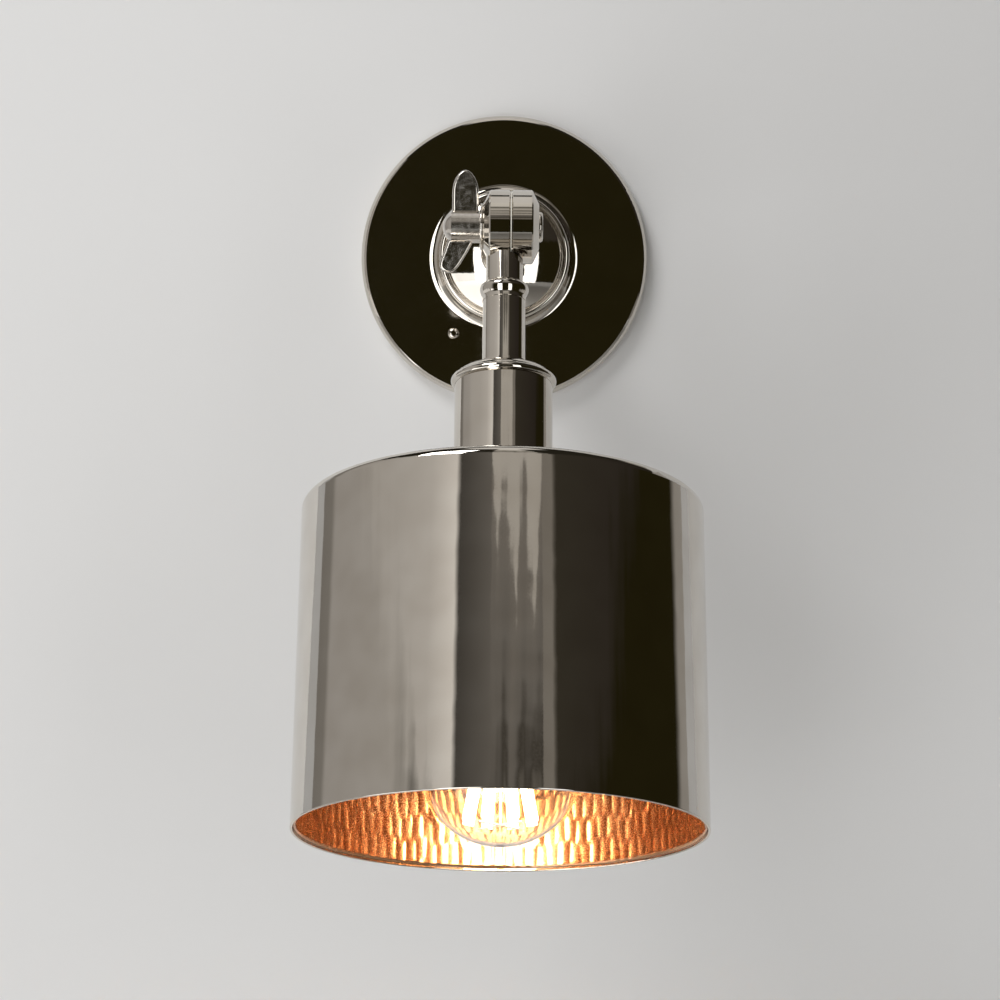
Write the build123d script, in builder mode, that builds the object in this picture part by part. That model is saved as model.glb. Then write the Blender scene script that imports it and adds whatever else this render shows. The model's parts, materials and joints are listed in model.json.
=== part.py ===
from build123d import *
import os
from math import cos, radians, sin

# Adjustable wall light: a round rose on the wall, a straight arm, a knuckle joint with a
# wing screw, and a tube shade with a copper lining round a screw-in bulb.
#
# Frame: the origin is the middle of the rose's back, on the wall. +X points right, +Z up
# and +Y into the wall, so the light stands out towards -Y. Lengths are in millimetres.
# "reach" is a distance from the wall along the arm. "drop" is a distance from the joint's
# screw along the head, towards the shade's mouth.

# ---- Fits -------------------------------------------------------------------------------
running_gap = 0.05  # round a pin that turns in its hole
thread_gap = 0.05  # round a thread, which is drawn as a plain cylinder
slip_gap = 0.15  # round a piece that slides over or into another
passing_gap = 0.3  # between pieces that swing past each other

# ---- Whole light ------------------------------------------------------------------------
arm_reach = 157.0  # wall to the joint's screw
head_tilt = 17.6  # degrees that the head leans out from plumb at rest
joint_offset = 2.4  # the two cheeks meet this far right of the lamp's middle

# ---- Hollow threaded rods, one in the arm and one in the head ---------------------------
rod_radius = 5.0
rod_bore_radius = 3.5
rod_socket_depth = 7.7  # how deep a rod goes into a knuckle's neck
rod_tail = 9.5  # rod that shows inside the rose, behind its land
nut_across_flats = 14.0
nut_height = 4.0
washer_radius = 7.6
washer_height = 1.0

# ---- Rose -------------------------------------------------------------------------------
rose_radius = 61.5
rose_wall = 1.5
rim_height = 8.0
rim_round = 4.5  # radius of the rim's rounded side
rim_crease = 30.0  # degrees at which the flange breaks into the rounded rim
sweep_radius = 32.0  # where the flat flange starts to sweep up to the boss
boss_radius = 27.8
shoulder_height = 20.9
shoulder_radius = 24.4  # where the dome starts
ring_bead_radius = 1.6
dome_height = 26.0
dome_rise = 0.75  # how far the dome's arc stands over its chord
rose_land_margin = 0.6  # flat land round the arm's rear collar

# ---- Rose screw, the catch opposite it, and the wall plate ------------------------------
rose_screw_x = -21.5
rose_screw_z = -32.5
rose_screw_radius = 1.4
rose_screw_head_radius = 2.3
rose_screw_head_height = 1.5
rose_screw_head_edge = 1.25
rose_screw_turn = -20.0  # degrees that its slot is turned from level
rose_screw_length = 6.0  # under the head
screw_slot_width = 0.6
screw_slot_depth = 0.6
plate_radius = 50.0
plate_thickness = 1.5
plate_wire_hole_radius = 10.0
pad_radius = 6.0
wall_slot_spacing = 50.8
wall_slot_length = 12.0
wall_slot_radius = 2.2
tongue_width = 10.0
tongue_foot = 34.0  # distance from the middle to the tongue's riser
tongue_tip = 43.0
tongue_step = 1.7  # height of the tongue's underside over the plate
catch_lip_start = 38.0
catch_lip_end = 47.4
catch_width = 12.0
catch_metal = 1.2

# ---- Terminal block ---------------------------------------------------------------------
block_length = 24.0
block_width = 11.0
block_height = 8.0
block_z = -17.0
block_ways = 3
block_pitch = 7.5
block_corner = 1.0
wire_way_radius = 1.7
wire_way_depth = 7.7
terminal_screw_radius = 1.4
terminal_screw_length = 2.4
terminal_screw_sink = 1.0  # how far the screws sit below the block's front
earth_screw_x = -30.0
earth_screw_z = 18.0
earth_screw_head_radius = 3.2
earth_screw_head_height = 2.0
earth_screw_head_edge = 0.8

# ---- Arm and stem tubes, with their collars ---------------------------------------------
tube_radius = 8.05
tube_wall = 1.0
collar_radius = 9.25
collar_height = 7.0
collar_swell = 2.7  # from a collar's flat end to its widest circle
collar_cove = 5.0  # from a collar's flat end to the cove that runs out to the tube
collar_cove_radius = 8.45
collar_foot_radius = 8.25  # where a collar meets its tube
collar_land_radius = 7.7  # flat end of a collar, against a knuckle's neck
lead_radius = 0.95
lead_circle = 1.55  # radius of the circle that the three leads lie on
lead_bend = 2.0  # radius of a bend in a lead
lead_rise = 3.5  # how far a lead runs forward while it climbs to the rod

# ---- Knuckle ----------------------------------------------------------------------------
cheek_radius = 14.1
cheek_thickness = 8.2
cheek_cone = 2.2  # height of the cone on a cheek's outer face
cheek_flat_radius = 9.0
cheek_edge = 0.55
seam = 0.4  # gap between the cheeks, filled by the friction washer
friction_washer_width = 2.8
neck_radius = 7.0
neck_length = 23.5  # from the joint's screw to the neck's end
pin_radius = 2.95
pin_hub_radius = 5.6
chamber_radius = 10.8  # outer radius of the ring-shaped wire chamber
chamber_depth = 4.0
wire_way_lean = 35.0  # degrees that the arm's wire way leans into its cheek
wire_way_bore = 2.6  # radius of that slanting way
nut_end_wall = 0.85  # metal left at the closed end of the sleeve nut
cup_washer_radius = 8.9
cup_washer_height = 1.3
cup_washer_edge = 0.58
hub_radius = 6.2
hub_length = 11.8
hub_dome = 2.3
hub_edge = 1.0
wing_root = 5.4  # distance from the hub's inner end to the middle of the wings
wing_foot = 2.5  # from the screw's axis to a wing's foot, inside the hub
upper_wing_half_width = 5.05
lower_wing_half_width = 5.9
wing_side = 10.0  # from a wing's tip back to where its sides run straight
wing_shoulder = 3.0  # from a wing's tip back to its rounded shoulder
wing_shoulder_share = 0.72  # of the half width, at the shoulder
wing_thickness = 2.4
wing_edge = 0.95
upper_wing_reach = 21.6  # from the screw's axis to the tip
upper_wing_lean = 0.5
lower_wing_reach = 18.7
lower_wing_lean = 20.0
nut_head_radius = 5.8
nut_head_height = 1.5
nut_head_edge = 1.1
nut_barrel_radius = 4.3
nut_barrel_length = 6.5

# ---- Stem and cup -----------------------------------------------------------------------
stem_length = 24.7
cup_radius = 18.35
cup_wall = 1.4
cup_length = 43.0
cup_foot_ring_radius = 8.9
cup_foot_ring_height = 1.6
cup_bead_drop = 7.4  # from the cup's top to its big bead
cup_bead_radius = 1.7
cup_bead_sink = 0.3  # how far a bead's centre lies inside the cup's side
cup_roof = 1.8  # metal in the cup's flat top
cup_foot_bead_radius = 1.15

# ---- Shade and lining -------------------------------------------------------------------
shade_mouth_radius = 75.2
shade_top_radius = 74.1
shade_height = 121.3  # from the top edge to the mouth
shade_crown = 14.3  # rise of the shallow conical top
shade_wall = 1.0
shade_edge_round = 3.5
shade_lip_round = 0.4
shade_land_radius = 20.5  # flat middle of the top, under the cup
lining_wall = 0.7
lining_lip = 1.2  # the lining stops this far short of the mouth

# ---- Lampholder -------------------------------------------------------------------------
clamp_washer_radius = 12.0
holder_boss_radius = 8.5
holder_boss_height = 2.5
holder_radius = 19.3
holder_wall = 1.3
holder_cap_edge = 1.9
holder_cap_length = 20.0
holder_shell_length = 38.0
holder_mouth_radius = 17.2
insert_height = 12.0
insert_rim = 4.0
screw_shell_radius = 13.5
screw_shell_wall = 0.45
screw_shell_length = 24.0
contact_width = 5.0
contact_thickness = 0.5
contact_foot = 2.0  # length of the contact's foot on the insert
contact_spring = 3.6  # height of the contact's leaf over the insert
holder_screw_radius = 1.5
holder_screw_circle = 10.5
holder_screw_head_radius = 2.6
holder_screw_head_height = 1.6
holder_screw_length = 8.0
lead_end_circle = 6.0  # where the head's leads end, behind the insert

# ---- Bulb -------------------------------------------------------------------------------
bulb_radius = 30.0
bulb_glass_wall = 0.8
bulb_neck_length = 49.5  # from the cap's rim to the middle of the globe
bulb_shoulder = 36.0  # degrees above the globe's widest circle where the neck joins it
bulb_cap_radius = 13.05
bulb_cap_wall = 0.5
bulb_cap_edge = 1.5
bulb_cap_length = 20.0
bulb_insulator_height = 4.5
bulb_insulator_radius = 9.0
bulb_contact_radius = 4.8
bulb_contact_height = 2.0
mount_radius = 3.2
mount_length = 31.0
mount_flare = 14.0  # length over which the mount narrows to its post
filament_count = 4
filament_radius = 0.9
filament_length = 34.0
filament_top_circle = 5.0
filament_mouth_circle = 11.0
filament_start = 6.0  # from the mount's head towards the tip
support_radius = 0.4

# ---- Axes and planes --------------------------------------------------------------------
tilt = radians(head_tilt)
pivot = Vector(0, -arm_reach, 0)
down_head = Vector(0, -sin(tilt), -cos(tilt))
right = Vector(1, 0, 0)

arm_axis = Axis((0, 0, 0), (0, -1, 0))
head_axis = Axis(pivot, down_head)
joint_axis = Axis(pivot, right)

# Sketch planes that hold an axis: local x is the radius, local y runs along the axis.
arm_section = Plane(origin=(0, 0, 0), x_dir=right, z_dir=(0, 0, -1))
head_section = Plane(origin=pivot, x_dir=right, z_dir=right.cross(down_head))

# Sketch planes square to an axis: local z runs along the axis.
arm_base = Plane(origin=(0, 0, 0), x_dir=right, z_dir=(0, -1, 0))
head_base = Plane(origin=pivot, x_dir=right, z_dir=down_head)

# The seam is the plane where the cheeks meet. Local x runs out of it, local y is +Z.
left_face = pivot + right * (joint_offset - seam / 2)
right_face = pivot + right * (joint_offset + seam / 2)
left_section = Plane(origin=left_face, x_dir=-right, z_dir=(0, 1, 0))
right_section = Plane(origin=right_face, x_dir=right, z_dir=(0, -1, 0))
left_of_seam = Plane(origin=left_face, x_dir=(0, 1, 0), z_dir=-right)
right_of_seam = Plane(origin=right_face, x_dir=(0, 1, 0), z_dir=right)

# ---- Places that follow from the sizes --------------------------------------------------
rod_hole_radius = rod_radius + slip_gap
thread_hole_radius = rod_radius + thread_gap
pin_hole_radius = pin_radius + running_gap
cheek_width = cheek_thickness + cheek_cone
swing_radius = cheek_radius + passing_gap
chamber_floor = neck_length - rod_socket_depth  # where the threaded socket ends

rose_land_radius = collar_radius + rose_land_margin
rear_collar_reach = dome_height
arm_tube_start = rear_collar_reach + collar_height
arm_tube_end = arm_reach - neck_length - collar_height
arm_rod_start = dome_height - rod_tail - rose_wall
arm_rod_end = arm_reach - chamber_floor

stem_start = neck_length + collar_height
cup_start = stem_start + stem_length
cup_end = cup_start + cup_length
cup_bead = cup_start + cup_bead_drop
shade_edge = cup_end + shade_crown
shade_mouth = shade_edge + shade_height
lining_mouth = shade_mouth - lining_lip
lining_under = cup_end + shade_wall + slip_gap + lining_wall
holder_start = lining_under + washer_height
holder_split = holder_start + holder_cap_length
holder_end = holder_split + holder_shell_length
insert_start = holder_split - insert_height / 3
insert_end = insert_start + insert_height
insert_radius = holder_radius - holder_wall - slip_gap
head_rod_end = holder_start + holder_boss_height + nut_height
contact_drop = insert_end + contact_spring
bulb_cap_start = contact_drop + bulb_contact_height + bulb_insulator_height
bulb_cap_end = bulb_cap_start + bulb_cap_length
bulb_middle = bulb_cap_end + bulb_neck_length
mount_head = bulb_cap_end + mount_length

os.makedirs("parts", exist_ok=True)


def finish(builder, name):
    """Label a finished piece and write it out."""
    builder.part.label = name
    export_step(builder.part, f"parts/{name}.step")


# ==== Wall side ==========================================================================

# Rose: a spun shell. Its inner face is the outer face moved in by one wall both ways.
def rose_outline(inset):
    """Draw the rose's section, from the rim's foot over the boss to the dome's land."""
    rim = rose_radius - inset
    front = rim_height - inset
    boss = boss_radius - inset
    shoulder = shoulder_height - inset
    dome_foot = shoulder_radius - inset
    land = rose_land_radius - inset
    crest = dome_height - inset
    middle = ((dome_foot + land) / 2, (shoulder + crest) / 2 + dome_rise)
    crease = rim - rim_round * (1 - sin(radians(rim_crease)))
    side = front - rim_round * cos(radians(rim_crease))
    Line((0, -inset), (rim, -inset))
    Line((rim, -inset), (rim, side))
    RadiusArc((rim, side), (crease, front), -rim_round)
    Line((crease, front), (sweep_radius - inset, front))
    Spline((sweep_radius - inset, front), (boss, shoulder), tangents=[(-1, 0), (0, 1)])
    Line((boss, shoulder), (dome_foot, shoulder))
    ThreePointArc((dome_foot, shoulder), middle, (land, crest))
    Line((land, crest), (0, crest))
    Line((0, crest), (0, -inset))


with BuildPart() as rose:
    with BuildSketch(arm_section):
        with BuildLine():
            rose_outline(0)
        make_face()
    revolve(axis=arm_axis)
    with BuildSketch(arm_section):
        with BuildLine():
            rose_outline(rose_wall)
        make_face()
    revolve(axis=arm_axis, mode=Mode.SUBTRACT)
    with BuildSketch(arm_section):
        with Locations((boss_radius - ring_bead_radius, shoulder_height)):
            Circle(ring_bead_radius)
    revolve(axis=arm_axis)
    with BuildSketch(arm_base):
        Circle(rod_hole_radius)
    extrude(amount=dome_height * 2, mode=Mode.SUBTRACT)
    with BuildSketch(arm_base):
        with Locations((rose_screw_x, rose_screw_z)):
            Circle(rose_screw_radius + slip_gap)
    extrude(amount=rim_height * 2, mode=Mode.SUBTRACT)
finish(rose, "rose")

# Wall plate: a pressed disc with two level slots, a raised pad for the rose screw and a
# raised tongue, opposite the pad, that the rose's catch hooks over.
screw_circle = (rose_screw_x**2 + rose_screw_z**2) ** 0.5
screw_way = Vector(rose_screw_x, 0, rose_screw_z) * (1 / screw_circle)
catch_way = screw_way * -1
catch_frame = Plane(origin=(0, 0, 0), x_dir=catch_way, z_dir=catch_way.cross(Vector(0, -1, 0)))
rose_inside = rim_height - rose_wall
tongue_top = plate_thickness + tongue_step + plate_thickness

with BuildPart() as wall_plate:
    with BuildSketch(arm_base):
        Circle(plate_radius)
        Circle(plate_wire_hole_radius, mode=Mode.SUBTRACT)
        with GridLocations(wall_slot_spacing, 0, 2, 1):
            SlotOverall(wall_slot_length, wall_slot_radius * 2, mode=Mode.SUBTRACT)
    extrude(amount=plate_thickness)
    with BuildSketch(arm_base.offset(plate_thickness)):
        with Locations((rose_screw_x, rose_screw_z)):
            Circle(pad_radius)
    extrude(amount=rose_inside - plate_thickness)
    with BuildSketch(arm_base):
        with Locations((rose_screw_x, rose_screw_z)):
            Circle(rose_screw_radius + thread_gap)
    extrude(amount=rose_inside, mode=Mode.SUBTRACT)
    with BuildSketch(catch_frame):
        with BuildLine():
            Polyline(
                (tongue_foot, plate_thickness / 2),
                (tongue_foot, tongue_top),
                (tongue_tip, tongue_top),
                (tongue_tip, tongue_top - plate_thickness),
                (tongue_foot + plate_thickness, tongue_top - plate_thickness),
                (tongue_foot + plate_thickness, plate_thickness / 2),
                close=True,
            )
        make_face()
    extrude(amount=tongue_width / 2, both=True)
finish(wall_plate, "wall_plate")

# Catch: a small bent clip brazed to the rose's inner face, hooked behind the tongue.
lip_top = tongue_top - plate_thickness - slip_gap
with BuildPart() as rose_catch:
    with BuildSketch(catch_frame):
        with BuildLine():
            Polyline(
                (catch_lip_start, lip_top),
                (catch_lip_end - catch_metal, lip_top),
                (catch_lip_end - catch_metal, rose_inside),
                (catch_lip_end, rose_inside),
                (catch_lip_end, lip_top - catch_metal),
                (catch_lip_start, lip_top - catch_metal),
                close=True,
            )
        make_face()
    extrude(amount=catch_width / 2, both=True)
finish(rose_catch, "rose_catch")

# Rose screw: a slotted round head on the flange, threaded into the plate's pad.
with BuildPart() as rose_screw:
    with BuildSketch(arm_base.offset(rim_height - rose_screw_length)):
        with Locations((rose_screw_x, rose_screw_z)):
            Circle(rose_screw_radius)
    extrude(amount=rose_screw_length)
    with BuildSketch(arm_base.offset(rim_height)):
        with Locations((rose_screw_x, rose_screw_z)):
            Circle(rose_screw_head_radius)
    extrude(amount=rose_screw_head_height)
    head_rim = rose_screw.faces().sort_by(arm_axis)[-1].edges()
    fillet(head_rim, rose_screw_head_edge)
    with BuildSketch(arm_base.offset(rim_height + rose_screw_head_height)):
        with Locations((rose_screw_x, rose_screw_z)):
            Rectangle(rose_screw_head_radius * 3, screw_slot_width, rotation=rose_screw_turn)
    extrude(amount=-screw_slot_depth, mode=Mode.SUBTRACT)
finish(rose_screw, "rose_screw")

# Terminal block: three ways side by side, a wire entry and a clamping screw in each.
block_places = [(i - (block_ways - 1) / 2) * block_pitch for i in range(block_ways)]
block_front = plate_thickness + block_height
wire_way_reach = plate_thickness + block_height / 2

with BuildPart() as terminal_block:
    with BuildSketch(arm_base.offset(plate_thickness)):
        with Locations((0, block_z)):
            RectangleRounded(block_length, block_width, block_corner)
    extrude(amount=block_height)
    block_top = Plane(origin=(0, -wire_way_reach, block_z + block_width / 2), z_dir=(0, 0, 1))
    with BuildSketch(block_top):
        with Locations([(x, 0) for x in block_places]):
            Circle(wire_way_radius)
    extrude(amount=-wire_way_depth, mode=Mode.SUBTRACT)
    with BuildSketch(arm_base.offset(block_front)):
        with Locations([(x, block_z) for x in block_places]):
            Circle(terminal_screw_radius + thread_gap)
    extrude(amount=wire_way_reach - block_front, mode=Mode.SUBTRACT)
finish(terminal_block, "terminal_block")

with BuildPart() as terminal_screws:
    with BuildSketch(arm_base.offset(block_front - terminal_screw_sink)):
        with Locations([(x, block_z) for x in block_places]):
            Circle(terminal_screw_radius)
    extrude(amount=-terminal_screw_length)
finish(terminal_screws, "terminal_screws")

with BuildPart() as earth_screw:
    with BuildSketch(arm_base.offset(plate_thickness)):
        with Locations((earth_screw_x, earth_screw_z)):
            Circle(earth_screw_head_radius)
    extrude(amount=earth_screw_head_height)
    fillet(earth_screw.faces().sort_by(arm_axis)[-1].edges(), earth_screw_head_edge)
    with BuildSketch(arm_base.offset(plate_thickness + earth_screw_head_height)):
        with Locations((earth_screw_x, earth_screw_z)):
            Rectangle(earth_screw_head_radius * 3, screw_slot_width)
    extrude(amount=-screw_slot_depth, mode=Mode.SUBTRACT)
finish(earth_screw, "earth_screw")


# ==== Arm ================================================================================

with BuildPart() as arm_rod:
    with BuildSketch(arm_base.offset(arm_rod_start)):
        Circle(rod_radius)
        Circle(rod_bore_radius, mode=Mode.SUBTRACT)
    extrude(amount=arm_rod_end - arm_rod_start)
finish(arm_rod, "arm_rod")

washer_reach = dome_height - rose_wall - washer_height
with BuildPart() as rose_washer:
    with BuildSketch(arm_base.offset(washer_reach)):
        Circle(washer_radius)
        Circle(rod_hole_radius, mode=Mode.SUBTRACT)
    extrude(amount=washer_height)
finish(rose_washer, "rose_washer")

with BuildPart() as rose_nut:
    with BuildSketch(arm_base.offset(washer_reach - nut_height)):
        RegularPolygon(nut_across_flats / 2, 6, major_radius=False)
        Circle(thread_hole_radius, mode=Mode.SUBTRACT)
    extrude(amount=nut_height)
finish(rose_nut, "rose_nut")


def collar_outline(start, tube_end):
    """Draw a collar's section, from its flat end over the swell to its foot on the tube."""
    way = (tube_end - start) / collar_height
    Line((rod_hole_radius, start), (collar_land_radius, start))
    Spline(
        (collar_land_radius, start),
        (collar_radius, start + way * collar_swell),
        (collar_cove_radius, start + way * collar_cove),
        (collar_foot_radius, tube_end),
        tangents=[(2, way), (0, way)],
    )
    Line((collar_foot_radius, tube_end), (rod_hole_radius, tube_end))
    Line((rod_hole_radius, tube_end), (rod_hole_radius, start))


with BuildPart() as arm_rear_collar:
    with BuildSketch(arm_section):
        with BuildLine():
            collar_outline(rear_collar_reach, arm_tube_start)
        make_face()
    revolve(axis=arm_axis)
finish(arm_rear_collar, "arm_rear_collar")

with BuildPart() as arm_tube:
    with BuildSketch(arm_base.offset(arm_tube_start)):
        Circle(tube_radius)
        Circle(tube_radius - tube_wall, mode=Mode.SUBTRACT)
    extrude(amount=arm_tube_end - arm_tube_start)
finish(arm_tube, "arm_tube")

with BuildPart() as arm_front_collar:
    with BuildSketch(arm_section):
        with BuildLine():
            collar_outline(arm_reach - neck_length, arm_tube_end)
        make_face()
    revolve(axis=arm_axis)
finish(arm_front_collar, "arm_front_collar")

# Leads in the arm: three cores from the terminal block, up behind the rod's tail and
# straight out through its bore.
arm_lead_paths = []
for i, x in enumerate(block_places):
    angle = radians(i * 120 - 210)
    inner_x = lead_circle * cos(angle)
    inner_z = lead_circle * sin(angle)
    arm_lead_paths.append(
        [
            (x, -wire_way_reach, block_z + lead_bend),
            (x, -wire_way_reach, block_z + block_width / 2 + lead_bend),
            (inner_x, -wire_way_reach - lead_rise, inner_z),
            (inner_x, -(arm_rod_end - slip_gap), inner_z),
        ]
    )

with BuildPart() as arm_leads:
    for points in arm_lead_paths:
        with BuildLine() as route:
            FilletPolyline(*points, radius=lead_bend)
        with BuildSketch(Plane(origin=route.line @ 0, z_dir=route.line % 0)):
            Circle(lead_radius)
        sweep(path=route.line)
finish(arm_leads, "arm_leads")


# ==== Knuckle ============================================================================

def cheek_outline():
    """Draw half a cheek's section: local x out of the seam, local y the radius."""
    Polyline(
        (0, 0),
        (0, cheek_radius - cheek_edge),
        (cheek_edge, cheek_radius),
        (cheek_thickness - cheek_edge, cheek_radius),
        (cheek_thickness, cheek_radius - cheek_edge),
        (cheek_width, cheek_flat_radius),
        (cheek_width, 0),
        close=True,
    )


# Fixed half: the right cheek, on a neck that runs back to the arm. Its wire way leans from
# the end of the rod into the ring-shaped chamber of the cheek.
wire_lean = radians(wire_way_lean)
arm_wire_way = Plane(origin=(0, -arm_rod_end, 0), z_dir=(sin(wire_lean), -cos(wire_lean), 0))

with BuildPart() as knuckle_fixed:
    with BuildSketch(arm_base.offset(arm_reach - neck_length)):
        Circle(neck_radius)
    extrude(amount=neck_length)
    with BuildSketch(left_of_seam.offset(-seam)):
        Circle(swing_radius)
    extrude(amount=swing_radius, mode=Mode.SUBTRACT)
    with BuildSketch(right_section):
        with BuildLine():
            cheek_outline()
        make_face()
    revolve(axis=joint_axis)
    with BuildSketch(right_of_seam):
        Circle(chamber_radius)
        Circle(pin_hub_radius, mode=Mode.SUBTRACT)
    extrude(amount=chamber_depth, mode=Mode.SUBTRACT)
    with BuildSketch(right_of_seam):
        Circle(pin_hole_radius)
    extrude(amount=cheek_width, mode=Mode.SUBTRACT)
    with BuildSketch(right_of_seam.offset(cheek_width)):
        Circle(nut_barrel_radius + slip_gap)
    extrude(amount=-nut_barrel_length - slip_gap, mode=Mode.SUBTRACT)
    with BuildSketch(arm_base.offset(arm_reach - neck_length)):
        Circle(thread_hole_radius)
    extrude(amount=rod_socket_depth, mode=Mode.SUBTRACT)
    with BuildSketch(arm_wire_way):
        Circle(wire_way_bore)
    extrude(amount=chamber_floor - pin_hub_radius, mode=Mode.SUBTRACT)
finish(knuckle_fixed, "knuckle_fixed")

# Moving half: the left cheek, on a neck that runs down to the stem.
with BuildPart() as knuckle_moving:
    with BuildSketch(head_base):
        Circle(neck_radius)
    extrude(amount=neck_length)
    with BuildSketch(right_of_seam.offset(-seam)):
        Circle(swing_radius)
    extrude(amount=swing_radius, mode=Mode.SUBTRACT)
    with BuildSketch(left_section):
        with BuildLine():
            cheek_outline()
        make_face()
    revolve(axis=joint_axis)
    with BuildSketch(left_of_seam):
        Circle(chamber_radius)
        Circle(pin_hub_radius, mode=Mode.SUBTRACT)
    extrude(amount=chamber_depth, mode=Mode.SUBTRACT)
    with BuildSketch(left_of_seam):
        Circle(pin_hole_radius)
    extrude(amount=cheek_width, mode=Mode.SUBTRACT)
    with BuildSketch(head_base.offset(neck_length)):
        Circle(thread_hole_radius)
    extrude(amount=-rod_socket_depth, mode=Mode.SUBTRACT)
    with BuildSketch(head_base.offset(chamber_floor)):
        Circle(rod_bore_radius)
    extrude(amount=-(chamber_floor - pin_hub_radius - slip_gap), mode=Mode.SUBTRACT)
finish(knuckle_moving, "knuckle_moving")

with BuildPart() as friction_washer:
    with BuildSketch(right_of_seam):
        Circle(cheek_radius - cheek_edge)
        Circle(cheek_radius - cheek_edge - friction_washer_width, mode=Mode.SUBTRACT)
    extrude(amount=-seam)
finish(friction_washer, "friction_washer")

with BuildPart() as cup_washer:
    with BuildSketch(left_of_seam.offset(cheek_width)):
        Circle(cup_washer_radius)
        Circle(pin_radius + slip_gap, mode=Mode.SUBTRACT)
    extrude(amount=cup_washer_height)
    outer_rims = cup_washer.edges().filter_by(GeomType.CIRCLE).sort_by(SortBy.RADIUS)[-2:]
    fillet(outer_rims, cup_washer_edge)
finish(cup_washer, "cup_washer")

# Wing screw: two flat wings on a hub, and a shank through both cheeks.
hub_start = cheek_width + cup_washer_height
hub_end = hub_start + hub_length
hub_rim = hub_radius - hub_edge
dome_radius = (hub_rim**2 + hub_dome**2) / (2 * hub_dome)
shank_end = seam + cheek_width + nut_head_height - nut_end_wall - slip_gap
wing_origin = left_face - right * (hub_start + wing_root)
wing_plane = Plane(origin=wing_origin, x_dir=right, z_dir=(0, -1, 0))


def wing_outline(reach, half_width, lean, way):
    """Draw one wing: way is 1 for the upper and -1 for the lower."""
    shoulder_half_width = half_width * wing_shoulder_share
    across = Vector(cos(radians(lean)), -way * sin(radians(lean)))
    along = Vector(-sin(radians(lean)), way * cos(radians(lean)))
    points = [
        across * -half_width + along * wing_foot,
        across * -half_width + along * (reach - wing_side),
        across * -shoulder_half_width + along * (reach - wing_shoulder),
        along * reach,
        across * shoulder_half_width + along * (reach - wing_shoulder),
        across * half_width + along * (reach - wing_side),
        across * half_width + along * wing_foot,
    ]
    Spline(*points, tangents=[along, -along])
    Line(points[-1], points[0])


with BuildPart() as wing_screw:
    with BuildSketch(wing_plane):
        with BuildLine():
            wing_outline(upper_wing_reach, upper_wing_half_width, upper_wing_lean, 1)
        make_face()
    extrude(amount=wing_thickness / 2, both=True)
    with BuildSketch(wing_plane):
        with BuildLine():
            wing_outline(lower_wing_reach, lower_wing_half_width, lower_wing_lean, -1)
        make_face()
    extrude(amount=wing_thickness / 2, both=True)
    wing_faces = wing_screw.faces().filter_by(Axis.Y)
    fillet(wing_faces.edges().filter_by(GeomType.BSPLINE), wing_edge)
    with BuildSketch(left_section):
        with BuildLine():
            Polyline(
                (hub_end + hub_dome, 0),
                (-shank_end, 0),
                (-shank_end, pin_radius),
                (hub_start, pin_radius),
                (hub_start, hub_radius),
                (hub_end - hub_edge, hub_radius),
                (hub_end, hub_rim),
            )
            RadiusArc((hub_end, hub_rim), (hub_end + hub_dome, 0), dome_radius)
        make_face()
    revolve(axis=joint_axis)
finish(wing_screw, "wing_screw")

# Sleeve nut: a low round head on a barrel that sits in the fixed cheek.
with BuildPart() as sleeve_nut:
    with BuildSketch(right_of_seam.offset(cheek_width)):
        Circle(nut_head_radius)
    extrude(amount=nut_head_height)
    fillet(sleeve_nut.faces().sort_by(Axis.X)[-1].edges(), nut_head_edge)
    with BuildSketch(right_of_seam.offset(cheek_width)):
        Circle(nut_barrel_radius)
    extrude(amount=-nut_barrel_length)
    with BuildSketch(right_of_seam.offset(cheek_width + nut_head_height - nut_end_wall)):
        Circle(pin_hole_radius)
    extrude(amount=-nut_barrel_length * 2, mode=Mode.SUBTRACT)
finish(sleeve_nut, "sleeve_nut")


# ==== Head ===============================================================================

with BuildPart() as stem_collar:
    with BuildSketch(head_section):
        with BuildLine():
            collar_outline(neck_length, stem_start)
        make_face()
    revolve(axis=head_axis)
finish(stem_collar, "stem_collar")

with BuildPart() as stem_tube:
    with BuildSketch(head_base.offset(stem_start)):
        Circle(tube_radius)
        Circle(tube_radius - tube_wall, mode=Mode.SUBTRACT)
    extrude(amount=stem_length)
finish(stem_tube, "stem_tube")

with BuildPart() as head_rod:
    with BuildSketch(head_base.offset(chamber_floor)):
        Circle(rod_radius)
        Circle(rod_bore_radius, mode=Mode.SUBTRACT)
    extrude(amount=head_rod_end - chamber_floor)
finish(head_rod, "head_rod")

# Cup: a spun cover with a beaded shoulder and a small bead at its foot.
with BuildPart() as cup:
    with BuildSketch(head_section):
        with BuildLine():
            top_line = Polyline(
                (rod_hole_radius, cup_start),
                (cup_foot_ring_radius, cup_start),
                (cup_foot_ring_radius, cup_start + cup_foot_ring_height),
            )
            Spline(
                top_line @ 1,
                (cup_radius, cup_bead),
                tangents=[(2, 1), (0, 1)],
            )
            Polyline(
                (cup_radius, cup_bead),
                (cup_radius, cup_end),
                (cup_radius - cup_wall, cup_end),
                (cup_radius - cup_wall, cup_bead),
                (cup_foot_ring_radius, cup_start + cup_foot_ring_height + cup_roof),
                (rod_hole_radius, cup_start + cup_foot_ring_height + cup_roof),
                (rod_hole_radius, cup_start),
            )
        make_face()
    revolve(axis=head_axis)
    with BuildSketch(head_section):
        with Locations((cup_radius - cup_bead_sink, cup_bead)):
            Circle(cup_bead_radius)
        with Locations((cup_radius - cup_bead_sink, cup_end - cup_foot_bead_radius)):
            Circle(cup_foot_bead_radius)
    revolve(axis=head_axis)
    with BuildSketch(head_base.offset(cup_bead)):
        Circle(cup_radius - cup_wall)
    extrude(amount=cup_length, mode=Mode.SUBTRACT)
finish(cup, "cup")


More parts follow.
